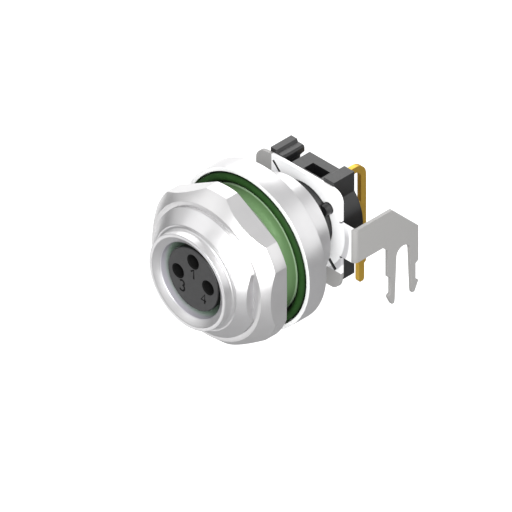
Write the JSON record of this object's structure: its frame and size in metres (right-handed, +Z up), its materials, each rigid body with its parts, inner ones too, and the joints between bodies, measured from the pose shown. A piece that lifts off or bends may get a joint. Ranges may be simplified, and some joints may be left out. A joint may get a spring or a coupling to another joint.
{
  "type": "circular sensor board connector",
  "caption": "Round sensor socket for a panel wall, with hex nut, seals, keyed contact insert, bent solder tails and a shield clip that snaps into a circuit board.",
  "frame": {"origin": "on the connector's axis, in the plane where the flange's front lip meets the panel", "axes": "the mating side faces -Y and the tails lie to +Y; +Z is up, away from the circuit board; +X is to the right as the mating side is looked at"},
  "size_m": [0.015, 0.0214, 0.0159],
  "materials": {
    "plated_brass": "bright nickel plate on turned brass",
    "seal_rubber": "smooth dark green rubber",
    "black_moulding": "black moulded plastic, satin",
    "gold_plating": "gold plate on brass, satin",
    "tinned_sheet": "tinned sheet, satin"
  },
  "bodies": {
    "connector": {"housing": "plated_brass", "panel_o_ring": "seal_rubber", "insert_seal": "seal_rubber", "contact_carrier": "black_moulding", "contact_1": "gold_plating", "contact_3": "gold_plating", "contact_4": "gold_plating", "shield_clip": "tinned_sheet"},
    "nut": {"hex_nut": "plated_brass"}
  },
  "joints": [
    {"name": "nut_turn", "type": "hinge", "parent": "connector", "child": "nut", "pos_m": [0, -0.0032, 0], "axis": [0, 1, 0], "continuous": true}
  ]
}
